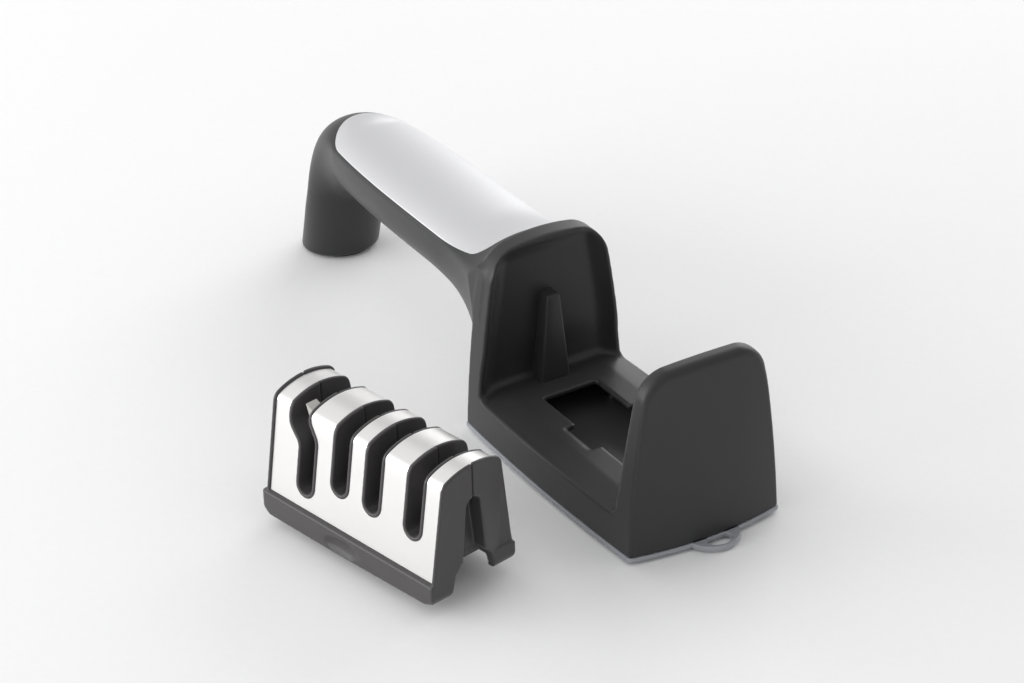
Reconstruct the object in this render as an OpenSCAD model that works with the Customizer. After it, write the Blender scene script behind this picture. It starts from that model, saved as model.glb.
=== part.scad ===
// Pull-through sharpener for knives and scissors. A cradle base with an arched handle rests on a
// soft pad, and a lift-out cartridge with four blade slots stands beside it.
// Millimetres. +X runs from the handle to the front wall, +Z is up, and the origin is the middle
// of the cradle's footprint on the table.

/* [Cartridge body] */
// Length over the end rims
cart_l = 70.3; // [68:0.1:72]
// Width over the flange
cart_w = 32.6; // [32:0.1:36]
// Height from the flange's underside to the crown of the steel
cart_h = 39.4; // [38.5:0.1:43]
// Height of the flange where it meets the steel
flange_h = 8; // [7:0.1:9]
// Height of the flange's upright side
flange_side = 7.3; // [6:0.1:7.6]
// How far the flange stands out beyond the steel
flange_ledge = 1.4; // [1:0.05:1.8]
// How far the flange runs on past the rim at one end
flange_tail = 2; // [1:0.1:2.5]
// Corner radius of that end of the flange
flange_corner = 2; // [1:0.1:4]
// Lean of the long faces, in degrees
face_lean = 8.9; // [8:0.1:9.5]
// Radius across the crown
crown_r = 22; // [20:0.5:26]
// Radius of the shoulders
shoulder_r = 3; // [2.5:0.1:4]
// Thickness of the steel cover
steel_t = 0.5; // [0.4:0.05:0.8]
// Width of the plastic rim at each end of the steel
end_rim = 1.1; // [0.8:0.1:1.4]
// How far the end rims stand above the steel
end_rim_rise = 0.8; // [0.4:0.1:1.2]
// Width of the channel under the cartridge
channel_w = 16.4; // [14:0.1:17]
// Height of that channel
channel_h = 10; // [9.5:0.1:10.5]
// Height of the pockets beside that channel
pocket_h = 6; // [4:0.1:7]
// Wall of the flange outside those pockets
pocket_wall = 3; // [2.4:0.1:3.5]
// Length of the finger dent in the flange
dent_l = 15.5; // [12:0.5:18]
// Depth of that dent
dent_depth = 1.1; // [0.8:0.1:1.2]
// Radius of that dent's hollow
dent_r = 3.2; // [2.5:0.1:4]
// Height of that dent's middle
dent_z = 3; // [2.5:0.1:3.6]
// Place of that dent along the flange
dent_x = -2.4; // [-6:0.1:6]

/* [Blade slots] */
// Width of a blade slot
slot_w = 5.7; // [5.2:0.1:6]
// Width of the plastic lip round a slot
slot_lip = 1.15; // [0.9:0.05:1.3]
// How far the lip stands above the steel
slot_lip_rise = 0.35; // [0.2:0.05:0.5]
// Bottom of the knife slots above the flange's underside
slot_floor = 18.2; // [18:0.1:19.5]
// Bottom of the scissor slot above the flange's underside
scissor_floor = 12.5; // [12.2:0.1:15]
// Scissor slot from the cartridge's middle
scissor_x = -19.5; // [-20:0.1:-19]
// Coarse slot from the cartridge's middle
coarse_x = -5.6; // [-6.2:0.1:-5]
// Medium slot from the cartridge's middle
medium_x = 7.7; // [7.3:0.1:8.2]
// Fine slot from the cartridge's middle
fine_x = 24.5; // [23.5:0.1:25]
// Width of the scissor slot's mouth
mouth_w = 6.9; // [6:0.1:7.5]
// Offset of the mouth from the slot below it
mouth_shift = 4.2; // [3:0.1:4.5]
// Height of the neck between mouth and slot
neck_z = 27; // [26:0.1:29]
// Rise of the neck's slant
neck_rise = 4.6; // [3:0.1:6]
// How much higher the neck's slant sits on its other side
neck_skew = 2.5; // [1:0.1:4]

/* [Sharpening stages] */
// Diameter of the coarse and fine rods
rod_d = 3.2; // [2.6:0.1:3.5]
// Length of a rod or a carbide plate below the crossing
stage_low = 7.5; // [6.5:0.1:7.8]
// Length of a rod or a carbide plate above the crossing
stage_high = 11; // [9:0.1:12]
// Lean of each rod or plate from upright, in degrees
stage_lean = 20; // [16:0.5:21]
// Height of the crossing above the slot's bottom
cross_up = 2.6; // [2:0.1:3]
// Gap between the two crossing pieces
cross_gap = 0.4; // [0.2:0.1:0.8]
// Thickness of a carbide plate
plate_t = 2.2; // [1.6:0.1:2.6]
// Width of a carbide plate
plate_w = 3.6; // [3:0.1:4]
// Wall of a stage carrier round its rods
carrier_wall = 1; // [0.8:0.1:1.1]
// Plastic under a stage carrier
carrier_floor = 1.4; // [1:0.1:1.6]
// Plastic between a stage carrier and its slot
carrier_roof = 1.8; // [1.4:0.1:2]
// Thickness of the scissor stone, level across it
stone_t = 3.7; // [3:0.1:4]
// Width of the scissor stone along the slot
stone_w = 3.8; // [3:0.1:4.2]
// Height of the scissor stone
stone_l = 18.4; // [17:0.1:19]
// Lean of the scissor stone from upright, in degrees
stone_lean = 20; // [18:0.5:22]
// Slope of the stone's top, in degrees
stone_slope = 21; // [10:1:30]
// Stone's highest edge from the slot's middle
stone_side = -4.6; // [-5:0.1:-4.2]
// Depth of that edge below the crown
stone_drop = 2; // [1.9:0.1:2.5]
// Middle of the stone in front of the parting plane
stone_front = 6.3; // [6:0.1:6.6]

/* [Snap fit and docking] */
// Length of a snap tongue
hook_l = 13.5; // [12:0.5:16]
// Thickness of a snap tongue
hook_t = 1.6; // [1.2:0.1:2]
// Drop of a snap tongue below the flange
hook_h = 3.3; // [3:0.1:4]
// Outer face of a snap tongue from the middle plane
hook_y = 11; // [10.5:0.1:11.5]
// Reach of the barb
hook_barb = 0.8; // [0.5:0.1:1]
// Thickness of a snap tongue's tip
hook_tip = 1.3; // [1:0.1:1.5]
// Height of the barb over the tongue's end
barb_z = 1.2; // [1:0.1:1.4]
// Height of the barb's upright face
barb_h = 0.3; // [0.2:0.1:0.5]
// Gap between the docked cartridge and each wall
dock_gap = 0.15; // [0.1:0.05:0.5]
// Depth of the upright groove in each end of the cartridge
groove_depth = 4; // [3.6:0.1:4.2]
// Width of that groove near its top
groove_top_w = 5.3; // [4.8:0.1:6]
// Width of that groove near its bottom
groove_low_w = 8.8; // [8.2:0.1:9.4]
// Top of that groove above the flange's underside
groove_top = 29.4; // [28:0.1:30]
// Reach of a guide rib from its wall at the tray
rib_reach = 3.3; // [2.5:0.1:3.5]
// Reach of a guide rib from its wall at the rib's top
rib_tip = 2.7; // [2:0.1:3.2]
// Clear space between the base and the cartridge standing beside it
stand_apart = 34.5; // [20:0.1:60]
// Turn of the cartridge beside the base, in degrees
stand_turn = 12; // [0:0.1:30]
// Place of the standing cartridge along the base
stand_x = -0.2; // [-20:0.1:20]

/* [Cradle] */
// Width of the cradle's sides, carried down to the table
base_w = 50.6; // [48:0.1:56]
// Width of the walls at the top of the front wall
wall_top_w = 38; // [36:0.1:40]
// Outward bow of the sides over their height
side_bow = 1; // [0.2:0.1:1.5]
// Outward bow of the sides over their length, at the pad
plan_bow = 1.4; // [0.5:0.1:2]
// Outward bow of the front wall over its width, at the pad
front_bow = 3; // [1:0.1:4]
// Corner radius of the cradle, seen from above
plan_corner = 1; // [0.6:0.1:3]
// Height of the front wall
front_top = 58; // [55:0.1:60]
// Height of the rear wall
rear_top = 61.1; // [60:0.1:66]
// Crown of the front wall's top edge
front_crown = 0.2; // [0:0.1:1]
// Crown of the rear wall's top edge
rear_crown = 1.1; // [0.2:0.1:2]
// Thickness of the front wall at the tray
front_wall = 8.5; // [8:0.1:10]
// Thickness of the front wall at its top
front_wall_top = 5.4; // [5:0.1:7]
// Thickness of the rear wall
rear_wall = 7.5; // [7:0.1:9]
// Rounding of the walls' upper corners
wall_corner = 7.5; // [5:0.5:9]
// Rounding along the walls' top edges
wall_edge = 2.4; // [1:0.1:2.6]
// Height of the tray
tray_z = 13.9; // [13:0.1:16]
// Fall of the tray towards its outer edges
tray_fall = 1.4; // [0.5:0.1:2]
// Thickness of the tray's plate
tray_t = 1.5; // [1.3:0.1:2]
// Thickness of the shell
shell_t = 2.6; // [2.2:0.1:2.8]
// Width of the shallow hollow's border on each wall
hollow_border = 1.2; // [1:0.1:3]
// Depth of that hollow
hollow_depth = 2.2; // [1.5:0.1:2.4]
// Length of the tray's opening
well_l = 50; // [44:0.2:52]
// Width of the tray's opening
well_w = 18.6; // [17:0.1:19]
// Width of the finger recesses at the tray's surface
recess_w = 27.7; // [26.5:0.1:28]

/* [Handle] */
// Length of the level part behind the cradle
beam_l = 97.6; // [85:0.1:115]
// Width of the grip
grip_w = 34.1; // [32:0.1:36]
// Width of the grip where it bends down
bend_w = 28.8; // [27:0.1:31]
// Height of the widest line of the grip
grip_z = 47.9; // [46:0.1:50]
// Crown of the grip above its widest line
grip_crown = 4.9; // [4:0.1:6]
// Depth of the grip below its widest line
grip_depth = 18; // [16:0.1:19]
// Roundness of the grip's underside, 2 for an ellipse
grip_round = 2.6; // [2:0.1:3]
// How late the grip narrows towards its bend
grip_taper = 4.8; // [2:0.1:6]
// Rise of the grip's top towards the rear wall
saddle_rise = 6; // [4:0.1:7]
// Widening of the grip on each side at the rear wall
saddle_w = 5; // [3.5:0.1:6]
// Reach of that rise and widening behind the rear wall
saddle_l = 28; // [22:0.5:36]
// Roundness of the grip's underside at the rear wall
saddle_round = 3.6; // [2.6:0.1:4.5]
// Drop of the grip's underside at the rear wall
under_drop = 12; // [8:0.5:14]
// Reach of that drop behind the rear wall
under_l = 42; // [30:0.5:50]
// Height of the line that the bend turns about
pivot_z = 23.9; // [22:0.1:25]
// Waist of the bend on each side
bend_waist = 1.8; // [0:0.1:2.5]
// Drop of the bend's widest line
bend_drop = 1.5; // [0:0.1:2]
// Extra crown over the bend
bend_crown = 4.3; // [3:0.1:5]
// Width of the leg at the end of the bend
leg_w = 28.1; // [27:0.1:30]
// Front half of the leg at the end of the bend
leg_front = 10.5; // [9.5:0.1:11]
// Rear half of the leg at the end of the bend
leg_rear = 7.1; // [6:0.1:9]
// Distance from the bend's line back to the leg's widest line
leg_back = 19.2; // [18:0.1:21]
// Slant of the leg towards the rear at the table
leg_slant = 6; // [4:0.1:7]
// Width of the foot
foot_w = 25.8; // [25:0.1:28]
// Length of the foot
foot_l = 23.1; // [22.5:0.1:25]
// Bore of the hollow leg
leg_bore = 12; // [10:0.5:13]
// Length of the bore up the leg
leg_bore_l = 22; // [16:0.5:24]

/* [Grip inlay] */
// Thickness of the inlay
inlay_t = 2; // [1.5:0.1:2.4]
// Dark edge left beside the inlay
inlay_margin = 0.6; // [0.4:0.1:1.2]
// Start of the inlay behind the rear wall
inlay_start = 4.5; // [3.5:0.1:8]
// Length of the inlay's rounded far end
inlay_round = 13; // [9:0.5:15]
// Reach of the inlay past the start of the bend
inlay_past = 9; // [6:0.1:10]
// Radius of the inlay's corners at the rear wall
inlay_corner = 5; // [3:0.5:6]
// Ledge that carries the inlay
inlay_ledge = 2.4; // [1.6:0.1:3]

/* [Pad, plate and screws] */
// Thickness of the pad
pad_t = 2.2; // [1.9:0.1:2.8]
// How far the pad stands out round the cradle
pad_edge = 0.4; // [0.3:0.1:1]
// Width of the hanging loop
loop_w = 17; // [15:0.1:18]
// Reach of the hanging loop in front of the pad's corners
loop_reach = 8.7; // [8.4:0.1:10]
// Offset of the hanging loop from the middle
loop_y = 1.8; // [0:0.1:3]
// Thickness of the hanging loop
loop_t = 1.7; // [1.4:0.1:1.8]
// Hole in the hanging loop
loop_hole = 4.2; // [3.8:0.1:4.4]
// Middle of that hole in front of the pad's corners
loop_hole_x = 5.5; // [5.4:0.1:5.7]
// Thickness of the bottom plate
bottom_t = 2; // [1.8:0.1:2.4]
// Diameter of the bottom screws
screw_d = 3; // [2.5:0.1:3.2]
// Length of the bottom screws' threaded part
screw_l = 6.5; // [5:0.1:6.8]
// Diameter of the bottom screws' heads
head_d = 5.6; // [5:0.1:6]
// Height of the bottom screws' heads
head_h = 1.2; // [1:0.1:1.4]
// Diameter of a screw boss
boss_d = 7; // [6.2:0.1:7.4]
// Boss from the side of the cradle
boss_side = 8; // [7.5:0.1:9]
// Boss from the end of the cradle
boss_end = 14.3; // [13:0.1:15]
// Diameter of the cartridge screws
pin_d = 2.5; // [2:0.1:2.6]
// Diameter of the cartridge screws' heads
pin_head_d = 4.6; // [4:0.1:5]
// Height of the cartridge screws' heads
pin_head_h = 1.6; // [1.2:0.1:2]
// Length of the cartridge screws below the head
pin_l = 17; // [14:0.5:18]
// Height of the cartridge screws above the flange's underside
pin_z = 25; // [24:0.1:26]
// Thickness of the plug's flange under the handle's foot
plug_t = 2; // [1.6:0.1:2.6]
// Diameter of that flange
plug_d = 20; // [19:0.1:21]
// How far the plug stands below the leg
plug_drop = 0.8; // [0.5:0.1:1.2]
// Length of the plug's spigot
plug_spigot = 4; // [3:0.5:5]

/* [Clearances] */
// Radial clearance of a screw in its hole
screw_fit = 0.04; // [0.02:0.01:0.1]
// Clearance round a piece that is set into another
set_fit = 0.1; // [0.05:0.01:0.2]
// Clearance of rods, plates and the stone
stage_fit = 0.05; // [0.03:0.01:0.1]
// Clearance of the docked snap tongues
hook_fit = 0.3; // [0.2:0.05:0.6]
// Clearance of the docked guide ribs
rib_fit = 0.35; // [0.3:0.05:0.6]

/* [Hidden] */
$fn = 48;
over = 1;
skin = 0.01;

// Colours
soft_black = "#3a3a3c";
shell_black = "#2e2c2d";
satin_silver = "#c9c9cc";
clear_grey = "#c4c6ca";
rubber_black = "#262626";
steel = "#dcdcdc";
zinc = "#a9abad";
diamond_grey = "#6f7276";
carbide_grey = "#8b8f94";
ceramic_white = "#efece4";
stone_grey = "#b9b7b2";

// Cradle, worked out from the cartridge that it holds
base_l = cart_l + flange_tail + 2 * dock_gap + front_wall + rear_wall;
front_x = base_l / 2;
rear_x = -base_l / 2;
tray_rear = rear_x + rear_wall;
tray_front = front_x - front_wall;
dock_x = tray_front - dock_gap - flange_tail - cart_l / 2;
shell_z = pad_t;
plate_top = shell_z + bottom_t;
boss_x = base_l / 2 - boss_end;
boss_y = base_w / 2 - boss_side;

// Cartridge, worked out from the face, shoulder and crown
foot_half = cart_w / 2 - flange_ledge;
lean_t = tan(face_lean);
crown_c = cart_h - crown_r;
offset_k = foot_half + flange_h * lean_t - shoulder_r / cos(face_lean);
root_b = offset_k * lean_t + crown_c;
root_c = offset_k * offset_k + crown_c * crown_c - pow(crown_r - shoulder_r, 2);
root_a = 1 + lean_t * lean_t;
shoulder_z = (root_b + sqrt(root_b * root_b - root_a * root_c)) / root_a;
shoulder_y = offset_k - shoulder_z * lean_t;
crown_turn = atan2(shoulder_z - crown_c, shoulder_y);
cross_z = slot_floor + cross_up;
carrier_base = channel_h + carrier_floor;
carrier_top = slot_floor - carrier_roof;
bore_low = stage_low + stage_fit;
pin_left = (scissor_x + coarse_x) / 2;
pin_right = (medium_x + fine_x) / 2;
stand_y = -(base_w + cart_w) / 2 - stand_apart;

// Half the width of the cradle's sides at a height
function side_half(z) =
    let (s = z / front_top)
    base_w / 2 + (wall_top_w - base_w) / 2 * s + side_bow * 4 * s * (1 - s);

// Points of an arc
function arc(c, r, from, to, n) =
    [for (i = [0 : n]) let (a = from + (to - from) * i / n) [c[0] + r * cos(a), c[1] + r * sin(a)]];

// Outline of the cradle from above at a height: each side bows out a little, less so higher up
side_n = 5;
function plan_outline(z) =
    let (
        f = 1 - z / rear_top, half = side_half(z), r = plan_corner,
        run = front_x - r, across = half - r, sides = [for (i = [-side_n : side_n]) i / side_n]
    )
    concat(
        [for (t = sides) [front_x + front_bow * f * (1 - t * t), across * t]],
        arc([run, across], r, 30, 60, 1),
        [for (t = sides) [-run * t, half + plan_bow * f * (1 - t * t)]],
        arc([-run, across], r, 120, 150, 1),
        [for (t = sides) [rear_x, -across * t]],
        arc([-run, -across], r, 210, 240, 1),
        [for (t = sides) [run * t, -half - plan_bow * f * (1 - t * t)]],
        arc([run, -across], r, 300, 330, 1)
    );

// A list of points and its mirror image, as one outline
function both_sides(half) = concat(
    half,
    [for (i = [len(half) - 1 : -1 : 0]) [-half[i][0], half[i][1]]]
);

// A wall's rounded top seen along X, over sides that reach far out
function top_outline(top, crown) =
    let (low = top - crown - wall_corner, far = base_w / 2 + over)
    both_sides(concat(
        [[far, 0], [far, low]],
        [for (i = [0 : 6])
            let (a = 15 * i, z = low + wall_corner * sin(a))
            [side_half(z) - wall_corner * (1 - cos(a)), z]],
        [for (t = [0.3, 0.6, 0.9])
            [(side_half(top) - wall_corner) * (1 - t), top - crown * pow(1 - t, 2)]]
    ));

// Cross-section of the cradle between two heights, drawn in from its sides
function side_profile(low, high, in) = both_sides([
    for (i = [0 : 6]) let (z = mix(low, high, i / 6)) [side_half(z) - in, z]
]);

// An outline across the cradle, run along X
module along_x(from, to) {
    translate([from, 0, 0]) rotate([90, 0, 90]) linear_extrude(to - from) children();
}

// An outline seen from the side, run across Y
module across_y(width) {
    rotate([90, 0, 0]) linear_extrude(width, center = true) children();
}

// The open bay between the two walls, as seen from the side
module bay_outline() {
    lean = (front_wall - front_wall_top) / (front_top - tray_z);
    rise = rear_top;
    polygon([
        [tray_rear, tray_z + rise], [tray_rear, tray_z], [tray_front, tray_z],
        [tray_front + lean * rise, tray_z + rise]
    ]);
}

// The cradle's outer form as seen from the side, with rounded wall tops
module side_outline() {
    front_in = front_x - front_wall_top;
    front_out = front_x + front_bow * (1 - front_top / rear_top);
    polygon(concat(
        [[rear_x, shell_z], [front_x + front_bow, shell_z]],
        arc([front_out - wall_edge, front_top - wall_edge], wall_edge, 0, 90, 5),
        arc([front_in + wall_edge, front_top - wall_edge], wall_edge, 90, 150, 4),
        [[tray_front, tray_z + over], [tray_rear, tray_z + over]],
        arc([tray_rear - wall_edge, rear_top - wall_edge], wall_edge, 0, 90, 5),
        [[rear_x, rear_top]]
    ));
}

// A shallow hollow in the inner face of a wall, deepest towards -X: it is open at the tray
module wall_hollow(face, top) {
    low = tray_z;
    high = top - wall_corner;
    slope = 2 * hollow_depth;
    lean = (side_half(high) - side_half(low)) / (high - low);
    function half_at(z) = side_half(low) - hollow_border + lean * (z - low);
    function ring(x, in) = [
        for (z = [low, high - in], side = [-1, 1]) [x, side * (half_at(z) - in), z]
    ];
    polyhedron(concat(ring(face + skin, 0), ring(face - hollow_depth, slope)), [
        [0, 2, 3, 1], [4, 5, 7, 6],
        [0, 1, 5, 4], [1, 3, 7, 5], [3, 2, 6, 7], [2, 0, 4, 6]
    ]);
}

// An upright guide rib that the groove in the cartridge's end drops over
module guide_rib(face) {
    low = tray_z - over;
    high = tray_z + groove_top - rib_fit;
    root = face - hollow_depth - over;
    taper = (groove_low_w - groove_top_w) / 2 / (groove_top - groove_top_w / 2 - channel_h);
    high_half = groove_top_w / 2 - rib_fit;
    low_half = high_half + taper * (high - low - groove_top_w / 2);
    intersection() {
        along_x(root, face + rib_reach + over)
            polygon([[-low_half, low], [low_half, low], [high_half, high], [-high_half, high]]);
        across_y(2 * groove_low_w)
            polygon([[root, low], [face + rib_reach, low], [face + rib_tip, high], [root, high]]);
    }
}

// The tray's opening, with a tapered recess on each side for a snap tongue
module tray_well() {
    low = tray_z - tray_t;
    recess_l = hook_l + 2 * hook_fit;
    translate([dock_x - well_l / 2, -well_w / 2, low - over])
        cube([well_l, well_w, tray_t + 2 * over]);
    along_x(dock_x - recess_l / 2, dock_x + recess_l / 2)
        polygon(both_sides([
            [hook_y + hook_fit / 2, low - over], [hook_y + hook_fit / 2, low],
            [recess_w / 2, tray_z], [recess_w / 2, tray_z + over]
        ]));
}

// Space inside the cradle: under the tray and up inside both walls
module cradle_hollow() {
    low = shell_z - over;
    under = tray_z - tray_t - tray_fall;
    front_lean = (front_wall - front_wall_top) / (front_top - tray_z);
    front_high = grip_z - grip_crown;
    rear_high = pivot_z;
    along_x(rear_x + shell_t, front_x - shell_t)
        polygon(both_sides([
            [side_half(low) - shell_t, low], [side_half(under) - shell_t, under],
            [side_half(under) - shell_t - tray_fall, under + tray_fall]
        ]));
    intersection() {
        along_x(rear_x, front_x) polygon(side_profile(low, front_high, shell_t));
        union() {
            across_y(base_w)
                polygon([
                    [tray_front + shell_t, low], [front_x - shell_t, low],
                    [front_x - shell_t, front_high],
                    [tray_front + shell_t + front_lean * (front_high - tray_z), front_high],
                    [tray_front + shell_t, tray_z]
                ]);
            translate([rear_x + shell_t, -base_w / 2, low])
                cube([rear_wall - 2 * shell_t - hollow_depth + over, base_w, rear_high - low]);
        }
    }
}

// Section of the handle at a place along it:
// [half width, widest line, crown, depth, roundness, turn, shift along X, shift along Z]
function smooth(f) = f * f * (3 - 2 * f);
function mix(a, b, f) = a + (b - a) * f;
function flare(d, reach) = pow(max(0, 1 - max(0, d) / reach), 2);
function grip_half(d) = mix(grip_w, bend_w, pow(max(0, d) / beam_l, grip_taper)) / 2;
function beam_at(d) =
    let (f = flare(d, saddle_l))
    [
        grip_half(d) + saddle_w * f,
        grip_z - pivot_z,
        grip_crown + saddle_rise * f,
        grip_depth + under_drop * flare(d, under_l),
        mix(grip_round, saddle_round, f), 0, beam_l - d, 0
    ];
function bend_at(f) =
    let (g = smooth(f), b = 4 * f * (1 - f))
    [
        mix(bend_w, leg_w, g) / 2 - bend_waist * b,
        mix(grip_z - pivot_z, leg_back, g) - bend_drop * b,
        mix(grip_crown, leg_rear, g) + bend_crown * b,
        mix(grip_depth, leg_front, g),
        mix(grip_round, 2, g), 90 * f, 0, 0
    ];
function leg_at(f) = [
    mix(leg_w, foot_w, f) / 2, leg_back + leg_slant * f,
    mix(leg_rear, foot_l / 2, f), mix(leg_front, foot_l / 2, f),
    2, 90, 0, -(pivot_z - plug_drop) * f
];
// Place along the top of the grip, in millimetres behind the rear wall, beam then bend
bend_run = (grip_z - pivot_z + grip_crown) * PI / 2;
function top_at(s) = s <= beam_l ? beam_at(s) : bend_at((s - beam_l) / bend_run);

// A point of a section, from its offset across and its height over the bend's line
function placed(s, y, r) = [
    rear_x - beam_l + s[6] - r * sin(s[5]), y, pivot_z + s[7] + r * cos(s[5])
];
function top_height(s, y) = s[1] + s[2] * sqrt(max(0, 1 - pow(y / s[0], 2)));
function floor_height(s, y) =
    let (half = s[0] - shell_t, n = s[4])
    s[1] - (s[3] - shell_t) * pow(max(0, 1 - pow(abs(y) / half, n)), 1 / n);

// Outline of a section: an elliptic crown over a fuller underside
ring_n = 32;
function section_ring(s) = [
    for (i = [0 : ring_n - 1])
        let (a = -360 * i / ring_n, c = cos(a), k = sin(a), e = 2 / s[4])
        k >= 0
            ? placed(s, s[0] * c, s[1] + s[2] * k)
            : placed(s, s[0] * sign(c) * pow(abs(c), e), s[1] - s[3] * pow(-k, e))
];

// A closed skin over rings that all have the same number of points
module loft(rings) {
    n = len(rings[0]);
    m = len(rings);
    points = [for (r = rings) each r];
    sides = [
        for (i = [0 : m - 2], j = [0 : n - 1])
            let (k = (j + 1) % n, a = i * n, b = a + n)
            each [[a + j, b + j, b + k], [a + j, b + k, a + k]]
    ];
    polyhedron(points, concat(
        [[for (j = [0 : n - 1]) j]], sides, [[for (j = [n - 1 : -1 : 0]) (m - 1) * n + j]]
    ));
}

// The handle's outer form, from inside the rear wall to the foot, no wider than the wall's sides
module handle_form() {
    near = [for (i = [0 : 12]) under_l * i / 12];
    far = [for (i = [1 : 5]) mix(under_l, beam_l, i / 5)];
    beam = concat([-shell_t], near, far);
    intersection() {
        loft(concat(
            [for (d = beam) section_ring(beam_at(d))],
            [for (i = [1 : 8]) section_ring(bend_at(i / 8))],
            [for (i = [1 : 3]) section_ring(leg_at(i / 3))]
        ));
        along_x(rear_x - 2 * beam_l, 0) polygon(side_profile(-over, rear_top, 0));
    }
}

// Half the inlay's width along the grip, with rounded ends
inlay_end = beam_l + inlay_past;
function inlay_full(s) = (s <= beam_l ? grip_half(s) : top_at(s)[0]) - inlay_margin;
function inlay_half(s, grow) =
    let (
        from_start = s - inlay_start + grow,
        to_end = inlay_end + grow - s,
        round_far = inlay_round + grow,
        full = inlay_full(s) + grow,
        near = from_start < inlay_corner
            ? inlay_corner - sqrt(max(0, pow(inlay_corner, 2) - pow(inlay_corner - from_start, 2))) : 0,
        far = to_end < round_far ? sqrt(max(0, 1 - pow(1 - to_end / round_far, 2))) : 1
    )
    (full - near) * far;

// Places along the inlay, closer together at its rounded ends
function inlay_places(grow) = concat(
    [for (t = [0, 0.06, 0.2, 0.5, 1]) inlay_start - grow + inlay_corner * t],
    [for (i = [1 : 8]) mix(inlay_start + inlay_corner, inlay_end - inlay_round, i / 8)],
    [for (a = [20 : 20 : 80]) inlay_end + grow - (inlay_round + grow) * (1 - sin(a))],
    [inlay_end + grow - 0.06]
);

// A slab that follows the grip's top, between two heights over it
across_n = 10;
function spread(w) = [for (j = [0 : across_n]) w * (2 * j / across_n - 1)];
module grip_slab(places, grow, high, low) {
    loft([
        for (s = places)
            let (t = top_at(s), across = spread(inlay_half(s, grow)))
            concat(
                [for (y = across) placed(t, y, top_height(t, y) + high)],
                [for (y = -across) placed(t, y, top_height(t, y) + low)]
            )
    ]);
}

// The hollow of the grip under the inlay's ledge
module grip_hollow() {
    first = inlay_start + inlay_corner + inlay_ledge;
    last = inlay_end - inlay_round;
    loft([
        for (i = [0 : 9])
            let (
                s = mix(first, last, i / 9),
                t = top_at(s),
                across = spread(inlay_full(s) - inlay_ledge)
            )
            concat(
                [for (y = across) placed(t, y, top_height(t, y) - inlay_t / 2)],
                [for (y = -across) placed(t, y, floor_height(t, y))]
            )
    ]);
}

// The cradle's outer form over its whole height, before the walls are shaped
module cradle_form() {
    loft([
        for (i = [0 : 6])
            let (z = mix(shell_z, rear_top, i / 6))
            [for (p = plan_outline(z)) [p[0], p[1], z]]
    ]);
}

// Places of the four bottom screws
module at_bosses() {
    for (x = [-boss_x, boss_x], y = [-boss_y, boss_y]) translate([x, y, 0]) children();
}

// Lean of the leg's middle line
leg_lean = atan2(leg_slant + (leg_front - leg_rear) / 2, pivot_z);

// Middle of the handle's foot
module at_foot() {
    translate([rear_x - beam_l - leg_back - leg_slant, 0, 0]) children();
}

// One moulding: the cradle's two walls and tray, the arched grip and its leg
module base_shell() {
    color(soft_black)
    difference() {
        union() {
            difference() {
                union() {
                    difference() {
                        intersection() {
                            cradle_form();
                            across_y(2 * base_w) side_outline();
                            union() {
                                along_x(rear_x, 0) polygon(top_outline(rear_top, rear_crown));
                                along_x(0, front_x + front_bow)
                                    polygon(top_outline(front_top, front_crown));
                            }
                        }
                        across_y(2 * base_w) bay_outline();
                        along_x(tray_rear, tray_front)
                            for (m = [0, 1]) mirror([m, 0])
                                polygon([
                                    [cart_w / 2 + rib_fit, tray_z], [base_w, tray_z + over],
                                    [base_w, tray_z - tray_fall], [side_half(tray_z), tray_z - tray_fall]
                                ]);
                        wall_hollow(tray_rear, rear_top);
                    }
                    handle_form();
                }
                cradle_hollow();
                tray_well();
                grip_slab(inlay_places(set_fit), set_fit, grip_crown, -inlay_t - set_fit / 2);
                grip_hollow();
                at_foot() {
                    rotate([0, leg_lean, 0]) cylinder(d = leg_bore, h = leg_bore_l);
                    translate([0, 0, -over]) {
                        cylinder(d = leg_bore, h = plug_t + plug_spigot + set_fit + over);
                        cylinder(d = plug_d + 2 * set_fit, h = plug_t + over);
                    }
                }
            }
            guide_rib(tray_rear);
            translate([tray_front, 0, 0]) mirror([1, 0, 0]) guide_rib(0);
            at_bosses() translate([0, 0, plate_top])
                cylinder(d = boss_d, h = tray_z - tray_t / 2 - plate_top);
        }
        at_bosses() translate([0, 0, shell_z])
            cylinder(d = screw_d + 2 * screw_fit, h = head_h + screw_l + set_fit);
    }
}

// Satin panel set into the top of the grip
module handle_inlay() {
    color(satin_silver) grip_slab(inlay_places(0), 0, 0, -inlay_t);
}

// Rubber plug that closes the hollow leg and stands on the table
module foot_plug() {
    color(rubber_black)
    at_foot() {
        cylinder(d = plug_d, h = plug_t);
        cylinder(d = leg_bore - 2 * set_fit, h = plug_t + plug_spigot);
    }
}

// Plate that closes the cradle from below
module bottom_plate() {
    half = side_half(plate_top) - shell_t - set_fit;
    color(shell_black)
    difference() {
        translate([rear_x + shell_t + set_fit, -half, shell_z])
            cube([base_l - 2 * (shell_t + set_fit), 2 * half, bottom_t]);
        at_bosses() translate([0, 0, shell_z - over]) {
            cylinder(d = screw_d + 2 * screw_fit, h = bottom_t + 2 * over);
            cylinder(d = head_d + 2 * set_fit, h = head_h + over);
        }
    }
}

// Soft pad under the cradle with a loop to hang it by
module base_pad() {
    round_r = loop_w / 2;
    loop_c = front_x + loop_reach - round_r;
    color(clear_grey)
    difference() {
        union() {
            linear_extrude(pad_t) offset(delta = pad_edge) polygon(plan_outline(shell_z));
            translate([loop_c, loop_y, pad_t - loop_t]) cylinder(r = round_r, h = loop_t);
        }
        translate([front_x + loop_hole_x, loop_y, -over])
            cylinder(d = loop_hole, h = pad_t + 2 * over);
    }
}

// Four screws that hold the bottom plate
module bottom_screws() {
    color(zinc)
    at_bosses() translate([0, 0, shell_z]) {
        cylinder(d = head_d, h = head_h);
        cylinder(d = screw_d, h = head_h + screw_l);
    }
}

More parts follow.
